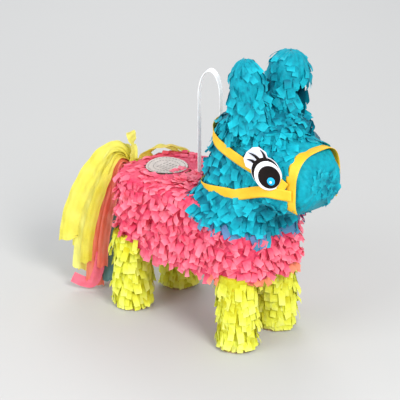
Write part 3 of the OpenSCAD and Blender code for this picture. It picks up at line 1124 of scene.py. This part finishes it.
def streamer(name, aim, reach, width, top, low, lean, cut, material, slot):
    """One crepe streamer: up and out from the root along `aim` degrees, over, and down to `low`.
    `lean` is how far it drifts aside as it falls, and `cut` how far its end is cut on a slant."""
    a = np.radians(aim)
    way = vec(-np.sin(a), np.cos(a), 0)
    side = vec(np.cos(a), np.sin(a), 0)
    root = ROOT + side * rng.uniform(-3, 3)
    drop = root[2] + top - low
    knots = []
    for far, rise in ((0, -top), (0.14, -0.15 * top), (0.33, -0.1 * top), (0.57, -0.2 * drop)):
        knots.append(root + way * reach * far + vec(0, 0, top + rise))
    for far, fall in ((0.79, 0.46), (0.94, 0.74), (1.0, 1.0)):
        knots.append(root + way * reach * far + vec(0, 0, top - drop * fall) + side * lean * fall)
    path = along_curve(knots, 64)
    along = unit(np.gradient(path, axis=0))
    t = np.linspace(0, 1, 64)
    turn = -1.15 if aim > 30 else 0.0
    twist = turn * smooth(t * 1.7) + rng.uniform(-0.3, 0.3) * t + 0.2 * np.sin(5 * t + rng.uniform(0, 6))
    across = unit(side - along * (along @ side)[:, None])
    normal = np.cross(along, across)
    across = across * np.cos(twist)[:, None] + normal * np.sin(twist)[:, None]
    normal = np.cross(along, across)
    s = np.linspace(-0.5, 0.5, 11)
    pinch = np.interp(t, [0, 0.1, 0.3], [0.45, 0.75, 1.0])
    phase = rng.uniform(0, 6, 3)
    t = t[:, None]
    fold = 0.10 * np.sin(5 * s + phase[0] + 2.5 * t) + 0.05 * np.sin(13 * s + phase[1])
    fold = width * fold + 0.7 * np.sin(40 * t + phase[2] + 4 * s)
    ragged = np.zeros((64, 11))
    ragged[-2:] = cut * s + 1.2 * np.sin(9 * s + phase[1])
    points = (
        path[:, None]
        + across[:, None] * (width * pinch[:, None] * s)[..., None]
        + normal[:, None] * (fold * pinch[:, None])[..., None]
        + along[:, None] * ragged[..., None]
    )
    return crepe_strip(name, "tail", points, rng.uniform(0.1, 0.9), path, material)


def loose_strip(name, knots, width, body, material, hub=(0, 90, 110)):
    """A crepe strip along given points, its face turned away from the hub."""
    path = along_curve(knots, 48)
    along = unit(np.gradient(path, axis=0))
    away = unit(path - vec(*hub))
    across = unit(np.cross(along, away))
    normal = np.cross(across, along)
    t, s = np.meshgrid(np.linspace(0, 1, 48), np.linspace(-0.5, 0.5, 9), indexing="ij")
    phase = rng.uniform(0, 6, 2)
    fold = 0.06 * width * np.sin(6 * s + phase[0] + 3 * t) + 0.5 * np.sin(30 * t + phase[1] + 4 * s)
    points = path[:, None] + across[:, None] * (width * s)[..., None] + normal[:, None] * fold[..., None]
    crepe_strip(name, body, points, 0.5, path, material)


def make_tail_root(yellow):
    """The gathered end of the bundle, glued to the rump."""
    low, high = box_mm("tail_root")
    middle = (low + high) / 2
    u, v = np.meshgrid(np.arange(64) / 64, np.linspace(0, 1, 12))
    pleat = 1 + 0.07 * np.sin(13 * 2 * np.pi * u + 2 * v)
    r = np.interp(v, [0, 0.7, 1], [8.6, 7.4, 4.0]) * pleat
    t = 2 * np.pi * u
    points = xyz(middle[0] + r * np.cos(t), low[1] - 0.5 + 9 * v, middle[2] + r * np.sin(t))
    paper = Paper()
    paper.grids(points, vec(0.2, 0.3, 0), closed=True)
    centre = vec(middle[0], low[1] + 8.8, middle[2])
    cap = centre + (points[-1][None] - centre) * np.linspace(1, 0.05, 5)[:, None, None]
    paper.grids(cap, vec(0.2, 0.3, 0), closed=True)
    piece = paper.build("tail_bundle_root", "tail", [yellow])
    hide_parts("tail_root")


def make_tail(papers):
    """The bundle of streamers and the single strips beside it."""
    yellow = papers["yellow"]
    make_tail_root(yellow)
    rows = [
        # name, aim, reach, width, top, low, lean, cut
        ("yellow_1", 47, 74, 21, 17, 58, -5, 7),
        ("yellow_2", 53, 61, 17, 12, 22, 3, -4),
        ("yellow_3", 36, 66, 19, 19, 44, -3, 5),
        ("yellow_4", 62, 56, 13, 8, 34, 2, 4),
        ("yellow_5", 24, 55, 19, 15, 62, 3, 4),
        ("yellow_6", 8, 52, 19, 15, 40, -2, -3),
        ("yellow_7", -12, 48, 19, 12, 64, 2, 3),
        ("yellow_8", -24, 46, 16, 14, 48, 3, 3),
        ("yellow_9", 56, 44, 10.5, 1, 36, 5, 3),
        ("yellow_10", 40, 57, 12, 8, 18, 0, 3),
        ("coral_1", 66, 48, 15, 2, 12, 5, 3),
        ("coral_2", 56, 42, 14, 0, 4, -3, -3),
        ("coral_3", 20, 40, 16, 1, 20, 2, 2),
        ("coral_4", -6, 38, 15, 0, 14, 0, 3),
        ("coral_5", 80, 40, 12, -3, 30, 4, 3),
        ("teal_1", 62, 33, 14, -6, 10, -2, 3),
        ("teal_2", 34, 30, 15, -7, 4, 2, -3),
        ("teal_3", 4, 30, 16, -6, 16, 2, -3),
    ]
    stands_for = {"yellow_1": "tail_yellow", "coral_1": "tail_coral", "teal_1": "tail_teal"}
    for name, *sizes in rows:
        colour = name.split("_")[0]
        piece = streamer("streamer_" + name, *sizes, papers[colour], "crepe_" + colour)
        if name in stands_for:
            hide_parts(stands_for[name])
    upright = [(-3, 111, 151), (-2, 111, 163), (-1, 112, 174), (-2, 113, 185)]
    loose_strip("tail_stub", upright, 11, "tail", yellow)
    square_cut = [(-36, 128, 46), (-39, 131, 24), (-43, 136, 10), (-49, 145, 9.5), (-55, 156, 14)]
    loose_strip("streamer_pink", square_cut, 12, "tail", papers["pink"], hub=(300, 460, -180))
    over = [(13, 106, 151), (16, 103, 159), (25, 97, 163), (38, 92, 163)]
    over += [(52, 82, 157), (60, 72, 144), (63, 66, 126)]
    loose_strip("rump_streamer_1", over, 21, "donkey", yellow)
    over = [(15, 107, 149), (17, 106, 157), (23, 104, 161), (36, 101, 162)]
    over += [(49, 95, 155), (58, 90, 140), (61, 86, 118)]
    loose_strip("rump_streamer_2", over, 18, "donkey", yellow)


# ---- the scene

make_camera()
make_studio()

# The first colour given to each tissue is painted shade: the colour at the root of each tab and on the paper
# under the tabs.
pink = tissue(
    "tissue_pink", linear(228, 58, 98), linear(250, 116, 140), linear(255, 166, 182), linear(252, 158, 108)
)
blue = tissue(
    "tissue_turquoise", linear(0, 116, 140), linear(8, 170, 190), linear(30, 212, 230), linear(112, 138, 190)
)
yellow = tissue(
    "tissue_yellow", linear(206, 198, 20), linear(236, 240, 80), linear(250, 252, 150), linear(250, 250, 190)
)
gold = gold_tape()
chipboard = card()
white_ink = print_ink("ink_white", linear(232, 232, 236), linear(250, 250, 252))
black_ink = print_ink("ink_dark", linear(10, 3, 3), linear(20, 7, 6))
cyan_ink = print_ink("ink_cyan", linear(20, 160, 214), linear(44, 184, 232))
pale_ink = print_ink("ink_pale", linear(206, 210, 226), linear(232, 234, 244))
grey_ink = print_ink("ink_grey", linear(62, 59, 58), linear(84, 80, 78))
crepes = {
    "yellow": crepe("crepe_yellow", linear(232, 222, 66), linear(248, 246, 140), 0.4),
    "coral": crepe("crepe_coral", linear(255, 112, 92), linear(255, 166, 142), 0.55),
    "teal": crepe("crepe_teal", linear(62, 104, 106), linear(120, 160, 160), 0.3),
    "pink": crepe("crepe_pink", linear(238, 84, 116), linear(252, 138, 156), 0.3),
}

make_body(pink, yellow)
make_neck(blue)
make_crown(blue)
make_muzzle(blue)
make_ear(RIGHT, "ear_tissue_right", ("ear_fringe_right", "ear_former_right"), blue)
make_ear(LEFT, "ear_tissue_left", ("ear_fringe_left", "ear_former_left"), blue)
for corner in ("front_right", "front_left", "rear_right", "rear_left"):
    make_leg(corner, yellow)
crown_front = [(-37.4, -141, 196), (-40.2, -128, 203), (-42.4, -113, 206.5)]
make_side_strap("crown_tape", crown_height, 6.6, "crown_strap", gold, crown_front)
throat_front = [(-36.4, -148, 189), (-39.6, -132, 188.5), (-42.6, -114, 187)]
make_side_strap("throat_tape", throat_height, 6.9, "throat_strap", gold, throat_front)
make_noseband(gold)
eye_inks = [white_ink, black_ink, cyan_ink, pale_ink]
make_eye(RIGHT, "eye_sticker_right", "eye_right", eye_inks)
make_eye(LEFT, "eye_sticker_left", "eye_left", eye_inks)
make_label(silver_label(), grey_ink)
make_flap_tabs(pink)
make_tail(crepes)

woven = strap_plastic()
for name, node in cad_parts.items():
    for place in node.material_slots:
        place.material = woven if name == "hanging_strap" else chipboard
